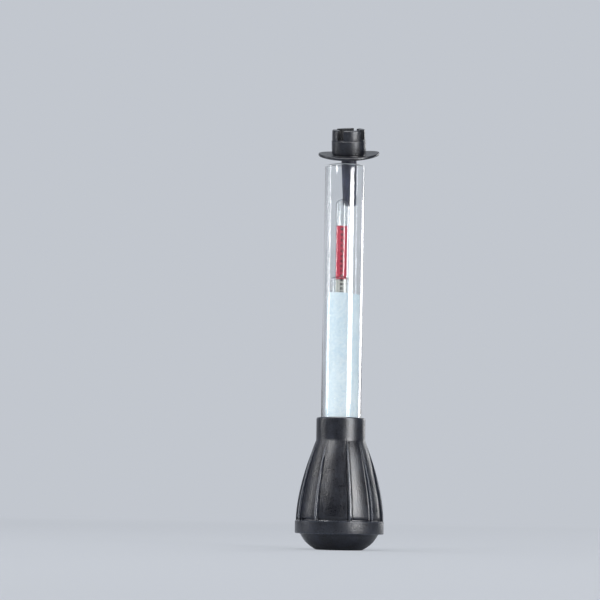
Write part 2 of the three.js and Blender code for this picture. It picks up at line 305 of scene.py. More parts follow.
def makeRubber(name, grain):
    look = rubberLook
    material, surface, place = newMaterial(name, Specular_IOR_Level=look["shine"])
    clouds = place.noise(look["cloud"], 3, 0.6)
    speckle = place.noise(look["speckle"], 2, 0.6)
    wearAndHighlight = place.node("Attribute", {"attribute_name": "wearAndHighlight"}, output="Fac")
    paintedShade = place.node("Attribute", {"attribute_name": "paintedShade"}, output="Fac")
    dust = clouds * look["cloudShare"] + speckle * (1 - look["cloudShare"])
    # Painted shade: the sheltered faces, in the stopper's cup and notches, take the dark colour and rougher
    # rubber
    shade = (dust.between(look["from"], look["to"]) * (1 - paintedShade)).blend(look["dark"], look["bloom"])
    # Worn crests and lips: smoother for wear, and lighter in colour, partly a painted highlight
    feed(surface, "Base Color", (wearAndHighlight * look["wearAndHighlightShare"]).blend(shade, look["wearAndHighlight"]))
    uneven = (clouds - 0.5) * look["cloudRough"] + (speckle - 0.5) * look["speckleRough"]
    feed(surface, "Roughness",
         look["roughness"] + uneven - wearAndHighlight * look["rubbedSmooth"] + paintedShade * look["paintedShadeRough"])
    pores, pebble = place.noise(look["pore"], 2, 0.6), place.noise(look["pebble"], 1, 0.5)
    height = pores * look["poreBump"] + speckle * look["speckleBump"] + pebble * look["pebbleBump"]
    bump(surface, height * grain + clouds * look["cloudBump"], look["depth"])
    return material


hardRubberLook = {
    "dark": colour(0.012, 0.014, 0.03), "pale": colour(0.034, 0.04, 0.08), "from": 0.3, "to": 0.75,
    "shine": 0.45, "roughness": 0.34, "cloudRough": 0.18, "speckleRough": 0.08,
    "cloud": 5, "cloudStretch": (1, 1, 0.4), "speckle": 0.4, "streak": 1.2, "streakStretch": (1, 1, 0.15),
    "speckleBump": 0.5, "depth": 0.05,
}


def makeHardRubber():
    look = hardRubberLook
    material, surface, place = newMaterial("nozzle_rubber", Specular_IOR_Level=look["shine"])
    clouds = place.noise(look["cloud"], 3, 0.6, look["cloudStretch"])
    speckle = place.noise(look["speckle"], 2, 0.6)
    feed(surface, "Base Color", clouds.between(look["from"], look["to"]).blend(look["dark"], look["pale"]))
    uneven = clouds * look["cloudRough"] + speckle * look["speckleRough"]
    feed(surface, "Roughness", look["roughness"] + uneven)
    streaks = place.noise(look["streak"], 2, 0.5, look["streakStretch"])
    bump(surface, speckle * look["speckleBump"] + streaks, look["depth"])
    return material


glassLook = {
    "refraction": 1.5, "smudge": 7, "smudgeFrom": 0.5, "smudgeTo": 0.8, "film": 0.7, "filmRough": 0.05,
    "roughness": 0.004, "streak": 3, "streakStretch": (1, 1, 0.03), "wave": 16, "waveBump": 0.2,
    "passes": colour(0.97, 0.985, 0.99),
}


def makeGlass(name, tint, streakDepth):  # clear glass that lets the lamps through to what stands behind it
    look = glassLook
    material, surface, place = newMaterial(name, Base_Color=tint, Transmission_Weight=1,
                                           IOR=look["refraction"])
    smudge = place.noise(look["smudge"], 4, 0.65).between(look["smudgeFrom"], look["smudgeTo"])
    film = smudge * place.noise(look["film"], 3, 0.7)
    feed(surface, "Roughness", film * look["filmRough"] + look["roughness"])
    streaks = place.noise(look["streak"], 2, 0.5, look["streakStretch"])
    bump(surface, streaks + place.noise(look["wave"], 1, 0.5) * look["waveBump"], streakDepth)
    clear = place.node("BsdfTransparent", sockets={"Color": look["passes"]})
    mixSurfaces(material.node_tree, surface, place.node("LightPath", output="Is Shadow Ray"), clear)
    return material


# The barrel ends' frosted white, a painted highlight on the rims
rimHighlightLook = {
    "clear": 0.2, "grey": colour(0.86, 0.92, 0.95), "white": colour(0.97, 0.99, 1), "grit": 0.25,
    "from": 0.3, "to": 0.7, "roughness": 0.22, "roughen": 0.2, "depth": 0.02,
}


def makeRimHighlightGlass():  # the barrel's ends: frosted white glass, which paints in the rims' bright highlight
    look = rimHighlightLook
    material, surface, place = newMaterial("rim_highlight_glass", Transmission_Weight=look["clear"],
                                           IOR=glassLook["refraction"])
    grit = place.noise(look["grit"], 3, 0.7)
    shadeBy(surface, grit, look, "grey", "white")
    bump(surface, grit, look["depth"])
    return material


foamLook = {
    "light": colour(0.84, 0.93, 0.97), "shade": colour(0.66, 0.8, 0.89), "from": 0.38, "to": 0.6,
    "fine": 0.45, "mottle": 1.5, "broad": 14, "fineShare": 0.35, "mottleShare": 0.4, "broadShare": 0.25,
    "shine": 0.1, "glow": 0.25, "glowReach": 1.2, "roughness": 0.6, "mottleRough": 0.25,
    "fineBump": 0.5, "depth": 0.14,
}


def makeFoam():
    look = foamLook
    material, surface, place = newMaterial(
        "white_foam", Specular_IOR_Level=look["shine"], Subsurface_Weight=look["glow"],
        Subsurface_Radius=(1, 1, 1), Subsurface_Scale=look["glowReach"] * mm)
    fine = place.noise(look["fine"], 2, 0.6)
    mottle = place.noise(look["mottle"], 3, 0.6)
    broad = place.noise(look["broad"], 2, 0.5)
    spots = fine * look["fineShare"] + mottle * look["mottleShare"] + broad * look["broadShare"]
    feed(surface, "Base Color", spots.between(look["from"], look["to"]).blend(look["shade"], look["light"]))
    feed(surface, "Roughness", look["roughness"] + mottle * look["mottleRough"])
    bump(surface, fine * look["fineBump"] + mottle, look["depth"])
    return material


paperLook = {
    "white": colour(0.86, 0.85, 0.8), "aged": colour(0.74, 0.71, 0.64), "agedFrom": 0.35, "agedTo": 0.7,
    "red": colour(0.78, 0.055, 0.1), "paleRed": colour(0.86, 0.12, 0.17), "paleFrom": 0.3, "paleTo": 0.75,
    "rule": colour(0.36, 0.01, 0.03), "ruleFrom": 0.16, "ruleTo": 0.24, "redEdge": 0.04,
    "fibre": 0.25, "fibreStretch": (1, 1, 0.5), "cloud": 4, "shine": 0.15, "roughness": 0.5,
    "fibreRough": 0.25, "depth": 0.02,
}


def makePaper(redFoot):  # white below a rule at this height, red above it
    look = paperLook
    material, surface, place = newMaterial("scale_paper", Specular_IOR_Level=look["shine"])
    fibre = place.noise(look["fibre"], 3, 0.7, look["fibreStretch"])
    spots = 0.5 * (fibre + place.noise(look["cloud"], 2, 0.5))
    plain = spots.between(look["agedFrom"], look["agedTo"]).blend(look["white"], look["aged"])
    red = fibre.between(look["paleFrom"], look["paleTo"]).blend(look["red"], look["paleRed"])
    fromRule = place.node("SeparateXYZ", sockets={"Vector": place}, output="Z") * (1 / mm) - redFoot
    inRed = fromRule.between(-look["redEdge"], look["redEdge"])
    rule = 1 - fromRule.maths("ABSOLUTE", fromRule).between(look["ruleFrom"], look["ruleTo"])
    feed(surface, "Base Color", rule.blend(inRed.blend(plain, red), look["rule"]))
    feed(surface, "Roughness", look["roughness"] + fibre * look["fibreRough"])
    bump(surface, fibre, look["depth"])
    return material


inkLook = {
    "black": colour(0.003, 0.003, 0.004), "thin": colour(0.014, 0.01, 0.014), "from": 0.3, "to": 0.8,
    "patch": 0.3, "shine": 0.4, "roughness": 0.42, "roughen": 0.2,
}


def makeInk():
    look = inkLook
    material, surface, place = newMaterial("scale_ink", Specular_IOR_Level=look["shine"])
    shadeBy(surface, place.noise(look["patch"], 2, 0.6), look, "black", "thin")
    return material


leadLook = {
    "bright": colour(0.3, 0.31, 0.34), "dull": colour(0.13, 0.135, 0.15), "from": 0.3, "to": 0.75,
    "spot": 1.1, "scratch": 0.3, "metal": 0.95, "oxide": 0.5, "oxideFrom": 0.5, "oxideTo": 0.8,
    "roughness": 0.36, "roughen": 0.35, "scratchBump": 0.4, "depth": 0.06,
}


def makeLead():
    look = leadLook
    material, surface, place = newMaterial("lead_shot")
    dull = place.noise(look["spot"], 3, 0.65)
    shadeBy(surface, dull, look, "bright", "dull")
    oxide = dull.between(look["oxideFrom"], look["oxideTo"]) * look["oxide"]
    feed(surface, "Metallic", look["metal"] - oxide)
    bump(surface, dull + place.noise(look["scratch"], 2, 0.6) * look["scratchBump"], look["depth"])
    return material


waxLook = {
    "dark": colour(0.28, 0.03, 0.018), "pale": colour(0.5, 0.1, 0.05), "from": 0.3, "to": 0.7, "swirl": 2.2,
    "shine": 0.5, "coat": 0.15, "roughness": 0.28, "roughen": 0.25, "depth": 0.1,
}


def makeWax():
    look = waxLook
    material, surface, place = newMaterial("sealing_wax", Specular_IOR_Level=look["shine"],
                                           Coat_Weight=look["coat"])
    swirl = place.noise(look["swirl"], 3, 0.6)
    shadeBy(surface, swirl, look, "dark", "pale")
    bump(surface, swirl, look["depth"])
    return material


# Bulb: two halves of one moulding, which part on the ribs at the sides

bulb = {
    "height": 69.8, "bearing": -10.6,
    "collarRadius": 13.05, "collarFoot": 57.8, "collarRounding": 0.9, "mouthRounding": 0.5,
    "collarRows": (58.8, 62.8, 67.8),
    "bandRadius": 23.52, "bandFoot": 8.4, "bandRow": 14.0, "bandTop": 15.0, "bandRounding": 0.6,
    "footRadius": 12.3, "footEdge": 20.6, "footBulge": (18.61, 3.19), "footRows": 12,
    "dimpleRadius": 2.2, "dimpleEdge": 2.6, "dimpleDepth": 0.35,
    "lipDepth": 0.4, "lipOut": 0.5, "cornerRounding": 0.3,
    "mouthRadius": 10.85, "seat": 53.8, "throatRadius": 4.9, "throatFoot": 50.8,
    "wall": 3.5, "floor": 3.0, "insideRows": 12, "insideStep": 1.1,
    "collarSkin": 0.5, "footSkin": 0.2, "flareSkin": 2,
    "flareFoot": 15.3, "flareShape": 1.7, "flareRows": 44, "edgeRow": 0.2, "edgeRows": 4,
    "blendStart": 13.8, "blendEnd": 24.2,
}
ribs = {  # degrees across a rib, and millimetres up and into the bulb
    "height": 1.3, "inner": 3.6, "outer": 5.2, "edge": 0.77, "wallEnd": 2.2,
    "shoulder": 2.3, "shoulderEnd": 4.6, "shoulderDrop": 0.15,
    "thumbPanel": 46.2, "step": 33.45, "lipStart": 0.05, "lipEnd": 0.45,
    "thumbDepth": 0.3, "thumbEdge": 1.5, "thumbFade": (38, 54), "panelFade": 26, "topFade": 2,
    "grooveDepth": 0.7, "innerGroove": 0.7, "innerWidth": (0.25, 1.1),
    "outerGroove": 0.3, "outerWidth": (0.2, 0.6), "footGroove": 0.75, "footWidth": (0.15, 0.5),
    "footCorner": (0.2, 1.2),
    "grooveTop": 54.5, "grooveSwing": 3.4, "grooveFade": 4, "grooveStart": 0.5,
    "ribColumns": 13, "narrowColumns": 8, "wideColumns": 12,
}
wear = {  # the surface's unevenness, and where the rubber is worn, with a painted highlight on the worn places
    "waviness": 0.16, "wavelength": 15, "seamFade": 14, "footFade": 1.5, "rimHeight": 1.2, "innerEdge": 1.8,
    "outerEdge": (1.8, 3), "footStart": 2, "topStart": 50, "lipHeight": 0.5, "lipUp": 0.2,
}
# Degrees from the middle of a wide panel to the ribs
ribPlaces = [ribs["thumbPanel"] / 2 + ribs["step"] * k for k in range(3)]
bulbRubber = makeRubber("bulb_rubber", 1.4)


def flareRadius(height):
    share = (bulb["collarFoot"] - height) / (bulb["collarFoot"] - bulb["flareFoot"])
    share = min(max(share, 0), 1)
    spread = bulb["bandRadius"] - bulb["collarRadius"]
    return bulb["collarRadius"] + spread * (1 - (1 - share) ** bulb["flareShape"])


def bulbProfile():
    b = bulb
    corner, rowStep = b["cornerRounding"], b["edgeRow"]
    line = rounded([(0, b["dimpleDepth"]), (b["dimpleRadius"], b["dimpleDepth"], corner),
                    (b["dimpleEdge"], 0), (b["footRadius"], 0)])
    start, bulge, end = (Vector(place) for place in (
        (b["footRadius"], 0), b["footBulge"], (b["footEdge"], b["bandFoot"])))
    for k in range(1, b["footRows"]):
        t = k / b["footRows"]
        line.append(tuple(start * (1 - t) ** 2 + bulge * 2 * t * (1 - t) + end * t * t))
    line += rounded([line[-1], (b["footEdge"], b["bandFoot"] - b["lipDepth"]),
                     (b["footEdge"] + b["lipOut"], b["bandFoot"], corner),
                     (b["bandRadius"], b["bandFoot"], b["bandRounding"]),
                     (b["bandRadius"], b["bandRow"])])[1:]
    # Close rows at the band's edge and at the panels' foot, then even ones up the flare
    closeHeight = b["edgeRows"] * rowStep
    line += [(b["bandRadius"], b["bandTop"] - closeHeight + k * rowStep) for k in range(b["edgeRows"] + 1)]
    low, high = b["flareFoot"], b["collarFoot"]
    heights = [low + k * rowStep for k in range(b["edgeRows"] + 1)]
    heights += [low + closeHeight + (high - low - closeHeight) * k / b["flareRows"]
                for k in range(1, b["flareRows"] + 1)]
    line += [(flareRadius(height), height) for height in heights]
    line += rounded([
        line[-1], *((b["collarRadius"], height) for height in b["collarRows"]),
        (b["collarRadius"], b["height"], b["collarRounding"]),
        (b["mouthRadius"], b["height"], b["mouthRounding"]),
        (b["mouthRadius"], b["seat"], corner), (b["throatRadius"], b["seat"], corner),
        (b["throatRadius"], b["throatFoot"]),
    ])[1:]
    for k in range(b["insideRows"] + 1):
        height = b["throatFoot"] + (low - b["throatFoot"]) * k / b["insideRows"]
        line.append((flareRadius(height) - b["wall"], height))
    return line + [(b["bandRadius"] - b["wall"], b["bandFoot"] + b["insideStep"]),
                   (b["footRadius"], b["floor"]), (0, b["floor"])]


def bulbColumns():  # half of the bulb, from the crest of one side rib to that of the other
    inner, outer = (ribs["inner"], ribs["ribColumns"]), (ribs["outer"], ribs["ribColumns"])
    narrow = (ribs["step"] - (ribs["inner"] + ribs["outer"]), ribs["narrowColumns"])
    wide = (ribs["thumbPanel"] - 2 * ribs["inner"], ribs["wideColumns"])
    side = [inner, narrow, outer, inner, narrow, outer, inner]
    return side + [wide] + side[::-1]


def weigh(piece, name, share):  # a vertex group, weighted by place
    group = piece.vertex_groups.new(name=name)
    for vertex in piece.data.vertices:
        amount = share(vertex.co)
        if amount > 0:
            group.add([vertex.index], amount, "REPLACE")
    return name


def paint(piece, name, share):  # a value at each point, for its material
    layer = piece.data.attributes.new(name, "FLOAT", "POINT")
    layer.data.foreach_set("value", [share(vertex.co) for vertex in piece.data.vertices])


def onOutside(point):
    height, radius = point.z / mm, math.hypot(point.x, point.y) / mm
    if height >= bulb["collarFoot"]:
        return radius > bulb["mouthRadius"] + bulb["collarSkin"]
    if height < bulb["bandFoot"]:
        inside = bulb["bandRadius"] - bulb["wall"]
        return height < bulb["floor"] - bulb["footSkin"] or radius > inside + bulb["footSkin"]
    return radius > flareRadius(height) - bulb["flareSkin"]


def fromThumb(point):  # degrees to the middle of the nearer of the two wide panels
    return (bearingOf(point) - bulb["bearing"] + 90) % 180 - 90


def fromRib(point):  # degrees to the nearest rib, more than 0 on the side away from the wide panel
    return min((abs(fromThumb(point)) - place for place in ribPlaces), key=abs)


def aboveBand(height):
    return ease(height, bulb["bandTop"] + ribs["lipStart"], bulb["bandTop"] + ribs["lipEnd"])


def sinkOf(point):  # how far the surface lies below the ribs, 0 to 1: steep inside, with a shoulder outside
    if not onOutside(point):
        return 0
    height, off, small = point.z / mm, fromRib(point), ribs["shoulderDrop"]
    along = 1 - ease(height, bulb["collarFoot"] - ribs["panelFade"], bulb["collarFoot"] + ribs["topFade"])
    along *= aboveBand(height)
    if off < 0:
        drop = small * min(-off / ribs["edge"], 1) ** 2
        return along * (drop + (1 - small) * ease(-off, ribs["edge"], ribs["wallEnd"]))
    drop = small * min(off / ribs["shoulder"], 1)
    return along * (drop + (1 - small) * ease(off, ribs["shoulder"], ribs["shoulderEnd"]))


def grooveOf(point):  # the narrow channel round each panel, which ends higher on one side than on the other
    if not onOutside(point):
        return 0
    height, off = point.z / mm, fromRib(point)
    fromFoot = abs(height - bulb["bandTop"] - ribs["footGroove"])
    foot = (1 - ease(fromFoot, *ribs["footWidth"])) * max(
        ease(off, *ribs["footCorner"]), ease(-off, ribs["edge"], ribs["wallEnd"]))
    swing = math.sin(math.pi * fromThumb(point) / ribs["thumbPanel"])
    top = ribs["grooveTop"] + ribs["grooveSwing"] * swing
    along = 1 - ease(height, top - ribs["grooveFade"], top)
    along *= ease(height, bulb["bandTop"], bulb["bandTop"] + ribs["grooveStart"])
    inner = ribs["innerGroove"] * (1 - ease(abs(off + ribs["wallEnd"]), *ribs["innerWidth"]))
    outer = ribs["outerGroove"] * (1 - ease(abs(off - ribs["shoulderEnd"]), *ribs["outerWidth"]))
    return max(foot, along * max(inner, outer))


def thumbOf(point):  # the two wide panels, a little deeper for a thumb and a finger
    if not onOutside(point):
        return 0
    height, edge = point.z / mm, ribs["thumbPanel"] / 2 - ribs["inner"]
    inside = 1 - ease(abs(fromThumb(point)), edge - ribs["thumbEdge"], edge)
    return inside * aboveBand(height) * (1 - ease(height, *ribs["thumbFade"]))


def fromSeam(point):  # degrees to where the two halves of the mould met
    off = (bearingOf(point) - bulb["bearing"] - 90) % 180
    return min(off, 180 - off)


def unevenOf(point):  # none at the seam, where the halves have to meet, and none at the flat foot
    fade = ease(fromSeam(point), 0, wear["seamFade"]) * ease(point.z, 0, wear["footFade"] * mm)
    return fade * onOutside(point)


def wearAndHighlightOf(point):  # where the rubber is worn and a highlight is painted on as a lighter colour: the ribs' crests and the lips
    height = point.z / mm
    if not onOutside(point):
        return 0
    if height > bulb["collarFoot"]:
        return ease(height, bulb["height"] - wear["rimHeight"], bulb["height"])
    off = fromRib(point)
    ridge = (1 - ease(-off, ribs["edge"], wear["innerEdge"])) * (1 - ease(off, *wear["outerEdge"]))
    along = ease(height, bulb["bandTop"], bulb["bandTop"] + wear["footStart"])
    along *= 1 - ease(height, wear["topStart"], bulb["collarFoot"])
    fromLip = min(abs(height - bulb["bandTop"]), abs(height - bulb["bandFoot"] - wear["lipUp"]))
    return max(ridge * along, 1 - fromLip / wear["lipHeight"], 0)


def makeBulbHalf():
    piece = drawLine("bulb_front", bulbProfile())
    spinRound(piece, bulbColumns())
    piece.rotation_euler.z = math.radians(bulb["bearing"])
    settle(piece)
    for name, share, depth in (("panels", sinkOf, ribs["height"]),
                               ("grooves", grooveOf, ribs["grooveDepth"]),
                               ("thumbs", thumbOf, ribs["thumbDepth"])):
        group = weigh(piece, name, share)
        applyModifier(piece, "DISPLACE", vertex_group=group, mid_level=0, strength=-depth * mm)
    return piece


def finishBulbHalf(piece, wall, side):
    unevenness = bpy.data.textures.new("unevenness", "CLOUDS")
    unevenness.noise_scale = wear["wavelength"] * mm
    applyModifier(piece, "DISPLACE", vertex_group=weigh(piece, "uneven", unevenOf), texture=unevenness,
                  texture_coords="LOCAL", strength=wear["waviness"] * mm, mid_level=0.5)
    piece.vertex_groups.clear()
    bpy.ops.object.mode_set(mode="EDIT")  # closes the half where it meets the other
    bpy.ops.mesh.select_mode(type="EDGE")
    bpy.ops.mesh.select_all(action="DESELECT")
    bpy.ops.mesh.select_non_manifold()
    bpy.ops.mesh.fill(use_beauty=True)
    bpy.ops.mesh.select_mode(type="VERT")
    faceOutwards(piece)
    # The worn crests and lips, whose lighter colour is partly a painted highlight
    paint(piece, "wearAndHighlight", wearAndHighlightOf)
    dress(piece, bulbRubber)
    smooth(piece, 38)
    out = atBearing(math.radians(bulb["bearing"]), side * mm)
    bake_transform(piece)
    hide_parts("bulb", "bulb_" + wall)


bulbFront = makeBulbHalf()
bulbBack = copyOf(bulbFront, "bulb_back")
bulbBack.rotation_euler.z = math.pi
settle(bulbBack)
finishBulbHalf(bulbFront, "front_wall", 1)
finishBulbHalf(bulbBack, "back_wall", -1)
print("bulb: two halves of", len(bulbFront.data.vertices), "points")


# Glass barrel, with fire-polished rims

barrel = {"radius": 10.7, "wall": 1.3, "rimRounding": 0.55, "steps": 112,
          "tint": colour(0.985, 0.995, 0.998), "streakDepth": 0.006, "rimHighlightShare": 0.9}
low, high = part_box("glass_barrel")
inner = barrel["radius"] - barrel["wall"]
glassBarrel = turnPiece("barrel", [
    (inner, low.z / mm, barrel["rimRounding"]),
    (barrel["radius"], low.z / mm, barrel["rimRounding"]),
    (barrel["radius"], high.z / mm, barrel["rimRounding"]),
    (inner, high.z / mm, barrel["rimRounding"]),
], barrel["steps"])
dress(glassBarrel, makeGlass("barrel_glass", barrel["tint"], barrel["streakDepth"]))
glassBarrel.data.materials.append(makeRimHighlightGlass())
# The rounded ends take the frosted white, a painted highlight on the rims
for face in glassBarrel.data.polygons:
    fromEnd = min(face.center.z - low.z, high.z - face.center.z) / mm
    face.material_index = int(fromEnd < barrel["rimRounding"] * barrel["rimHighlightShare"])
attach(glassBarrel, "barrel_and_bulb")
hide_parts("glass_barrel")
print("barrel")


# Float: one blown glass, closed at both ends

floatGlass = {"stemRadius": 3.45, "bodyRadius": 5.4, "bodyLength": 60, "length": 102, "shoulder": 1.3,
              "neck": 0.7, "bodyRow": 6.4, "stemRow": 94, "wall": 0.4, "steps": 72, "endSteps": 12,
              "tint": colour(0.985, 0.996, 0.998), "streakDepth": 0.03}


def arc(middle, radius, start, end, steps):  # degrees from outwards to upwards
    angles = [math.radians(start + (end - start) * k / steps) for k in range(steps + 1)]
    return [(max(radius * math.cos(a), 0), middle + radius * math.sin(a)) for a in angles]


g = floatGlass
low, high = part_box("float_body_glass")
floatAxis = Vector((low.x + high.x, low.y + high.y, 0)) / 2
waist = rounded([(g["bodyRadius"], g["bodyRow"]), (g["bodyRadius"], g["bodyLength"], g["shoulder"]),
                 (g["stemRadius"], g["bodyLength"], g["neck"]), (g["stemRadius"], g["stemRow"])])
outline = arc(g["bodyRadius"], g["bodyRadius"], -90, 0, g["endSteps"]) + waist
outline += arc(g["length"] - g["stemRadius"], g["stemRadius"], 0, 90, g["endSteps"])
floatPiece = drawLine("float", outline)
spinRound(floatPiece, [(360, g["steps"])])
applyModifier(floatPiece, "SOLIDIFY", thickness=g["wall"] * mm, offset=-1)
floatPiece.location = floatAxis + Vector((0, 0, low.z))
settle(floatPiece)
smooth(floatPiece)
dress(floatPiece, makeGlass("float_glass", g["tint"], g["streakDepth"]))
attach(floatPiece, "float")
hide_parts("float_stem_glass", "float_body_glass")
print("float")


# Scale: a strip of printed paper, rolled up inside the float

paper = {  # the overlap is in turns, and the winding in thicknesses of the paper
    "thickness": 0.12, "outerRadius": 2.95, "overlap": 1.12, "windFrom": 1.7, "windOut": 1.15,
    "columns": 84, "rows": 24, "top": 171.9, "redFoot": 143.4,
}
marks = {
    "first": 8, "step": 2, "count": 14, "bearing": 2, "top": 170.1, "gap": 3.05, "lastGap": 2.1,
    "size": 1.85, "narrow": 0.85, "weight": 0.11, "thickness": 0.04, "sunk": 0.55,
    "ticks": 4, "tickBearing": -31, "longTick": 1.5, "shortTick": 0.8, "tickHeight": 0.15,
}


def roundFloat(angle, reach, height):
    return floatAxis + atBearing(angle, reach) + Vector((0, 0, height))


low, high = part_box("scale_paper")
high.z = paper["top"] * mm
deselectAll()
bpy.ops.mesh.primitive_grid_add(x_subdivisions=paper["columns"], y_subdivisions=paper["rows"], size=1)
scalePaper = bpy.context.object
scalePaper.name = "scale_paper_strip"
scalePaper.rotation_euler.x = math.pi / 2
roundLength = 2 * math.pi * (paper["outerRadius"] - paper["thickness"]) * mm
scalePaper.dimensions = (roundLength * paper["overlap"], high.z - low.z, 0)
scalePaper.location.z = (low.z + high.z) / 2
settle(scalePaper)
applyModifier(scalePaper, "SOLIDIFY", thickness=paper["thickness"] * mm, offset=0)
for vertex in scalePaper.data.vertices:
    x, y, z = vertex.co
    turns = x / roundLength
    wound = paper["windOut"] * (turns / paper["overlap"] + 0.5) - paper["windFrom"]
    reach = (paper["outerRadius"] + paper["thickness"] * wound) * mm - y
    vertex.co = roundFloat(2 * math.pi * turns, reach, z)
faceOutwards(scalePaper)
smooth(scalePaper)
dress(scalePaper, makePaper(paper["redFoot"]))
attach(scalePaper, "float")
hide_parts("scale_paper")


def addMark(x, z, width, height, body=None):
    # A flat number or tick that stands at x along the strip
    deselectAll()
    if body is None:
        bpy.ops.mesh.primitive_cube_add(size=mm)
        mark = bpy.context.object
        mark.scale = (width, marks["thickness"], height)
    else:
        bpy.ops.object.text_add(rotation=(math.pi / 2, 0, 0))
        mark = bpy.context.object
        mark.data.body = body
        mark.data.align_x, mark.data.align_y = "CENTER", "CENTER"
        mark.data.size = height * mm
        mark.data.extrude = marks["thickness"] / 2 * mm
        mark.data.offset = marks["weight"] * mm
        mark.data.resolution_u = 3
        mark.scale.x = width
        bpy.ops.object.convert(target="MESH")
        mark = bpy.context.object
    mark.location = (x * mm, 0, z * mm)
    settle(mark)
    return mark


m = marks
inkRadius = paper["outerRadius"] - paper["thickness"] * m["sunk"]
made, height = [], m["top"]
for k in range(m["count"]):
    x = math.radians(m["bearing"]) * inkRadius
    made.append(addMark(x, height, m["narrow"], m["size"], f"{m['first'] + k * m['step']:02d}"))
    gap = m["gap"] + (m["lastGap"] - m["gap"]) * k / (m["count"] - 1)
    for part in range(m["ticks"]):
        width = m["longTick"] if part == 0 else m["shortTick"]
        x = math.radians(m["tickBearing"]) * inkRadius - (m["longTick"] - width) / 2
        made.append(addMark(x, height - gap * part / m["ticks"], width, m["tickHeight"]))
    height -= gap
deselectAll()
for mark in made:
    mark.select_set(True)
bpy.context.view_layer.objects.active = made[0]
bpy.ops.object.join()
scaleMarks = bpy.context.object
scaleMarks.name = "scale_marks"
settle(scaleMarks)
for vertex in scaleMarks.data.vertices:
    x, y, z = vertex.co
    vertex.co = roundFloat(x / (inkRadius * mm), inkRadius * mm - y, z)
faceOutwards(scaleMarks, merge=True)
dress(scaleMarks, makeInk())
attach(scaleMarks, "float")
print("scale: paper and", len(made), "marks")


# Ballast: lead shot in the float's foot, held by a plug of wax

shot = {"count": 12, "dentDepth": 0.1, "dentSize": 1.6, "seed": 7}
wax = {"footRounding": 0.3, "rim": 0.25, "rimRounding": 0.1, "slope": 1.1, "slopeDepth": 0.55,
       "slopeRounding": 0.6, "depth": 0.6, "steps": 48}
low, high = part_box("ballast_shot_01")
deselectAll()
bpy.ops.mesh.primitive_ico_sphere_add(subdivisions=4, radius=(high.x - low.x) / 2)
firstShot = bpy.context.object
dents = bpy.data.textures.new("dents", "CLOUDS")
dents.noise_scale = shot["dentSize"] * mm
applyModifier(firstShot, "DISPLACE", texture=dents, strength=-shot["dentDepth"] * mm, mid_level=0)
smooth(firstShot, 60)
dress(firstShot, makeLead())
turn = random.Random(shot["seed"])
for k in range(1, shot["count"] + 1):
    node = f"ballast_shot_{k:02d}"
    ball = copyOf(firstShot, f"shot_{k:02d}")
    low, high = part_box(node)
    ball.location = (low + high) / 2
    ball.rotation_euler = [turn.uniform(0, 2 * math.pi) for axis in range(3)]
    settle(ball)
    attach(ball, "float")
    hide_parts(node)
bpy.data.objects.remove(firstShot)

low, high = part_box("ballast_wax")
w, radius, foot, top = wax, (high.x - low.x) / 2 / mm, low.z / mm, high.z / mm
waxPlug = turnPiece("wax_plug", [
    (0, foot), (radius, foot, w["footRounding"]), (radius, top), (radius - w["rim"], top, w["rimRounding"]),
    (radius - w["slope"], top - w["slopeDepth"], w["slopeRounding"]), (0, top - w["depth"]),
], w["steps"], closed=False)
waxPlug.location = floatAxis
settle(waxPlug)
dress(waxPlug, makeWax())
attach(waxPlug, "float")
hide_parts("ballast_wax")
print("ballast")


# Foam: a thin sheet rolled round the float, a little telescoped, with its free edge at the left

foam = {  # a ripple of the top edge is (height, degrees round the roll for a radian of the wave)
    "thickness": 0.78, "turns": 1.82, "outerRadius": 9.34, "layer": 0.82, "inner": 6.53, "edgeBearing": -53,
    "telescope": 2.6, "tuck": 0.78, "columns": 300, "rows": 90, "edgeRounding": 0.28, "length": 90,
    "ripples": ((0.12, 23), (0.07, 7.1)), "cellSize": 2.2, "cellDepth": 0.08, "cellLevel": 0.75,
}


def foamPlace(inward, out):
    # Degrees inwards from the free edge, and millimetres out from the sheet's middle. The first turn lies on
    # the glass. From the tuck on, the sheet lies round the float, which stands nearer to one side.
    bearing = math.radians(foam["edgeBearing"] + inward)
    wide = foam["outerRadius"] - foam["thickness"] / 2
    shift = wide - foam["layer"] - foam["inner"]
    off = bearing - math.radians(bearingOf(floatAxis))
    narrow = shift * math.cos(off) + math.sqrt(foam["inner"] ** 2 - (shift * math.sin(off)) ** 2)
    reach = wide + (narrow - wide) * ease(inward / 360, foam["tuck"], 1) + out
    return atBearing(bearing, reach * mm)


low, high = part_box("foam_sleeve")
deselectAll()
bpy.ops.mesh.primitive_grid_add(x_subdivisions=foam["columns"], y_subdivisions=foam["rows"], size=1)
foamRoll = bpy.context.object
foamRoll.name = "foam_roll"
foamHeight = (high.z - low.z) / mm - foam["telescope"] * foam["turns"]
foamRoll.rotation_euler.x = math.pi / 2
foamRoll.dimensions = (foam["length"] * mm, foamHeight * mm, 0)
settle(foamRoll)
applyModifier(foamRoll, "SOLIDIFY", thickness=foam["thickness"] * mm, offset=0)
applyModifier(foamRoll, "BEVEL", width=foam["edgeRounding"] * mm, segments=3, limit_method="ANGLE")
for vertex in foamRoll.data.vertices:
    x, y, z = vertex.co / mm
    inward = (0.5 + x / foam["length"]) * 360 * foam["turns"]
    ripple = sum(size * (math.sin(inward / length) - 1) for size, length in foam["ripples"])
    vertex.co = foamPlace(inward, -y)
    vertex.co.z = high.z + (z - foamHeight / 2 - foam["telescope"] * inward / 360) * mm
    vertex.co.z += ripple * mm * ease(z, 0, foamHeight / 2)
cells = bpy.data.textures.new("cells", "CLOUDS")
cells.noise_scale = foam["cellSize"] * mm
applyModifier(foamRoll, "DISPLACE", texture=cells, texture_coords="LOCAL", strength=foam["cellDepth"] * mm,
              mid_level=foam["cellLevel"])
faceOutwards(foamRoll)
smooth(foamRoll, 60)
dress(foamRoll, makeFoam())
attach(foamRoll, "sleeve")
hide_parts("foam_sleeve")
print("foam roll of", foam["length"], "x", round(foamHeight), "mm")


# Stopper, stored with its castellated plug outwards, and the nozzle in it

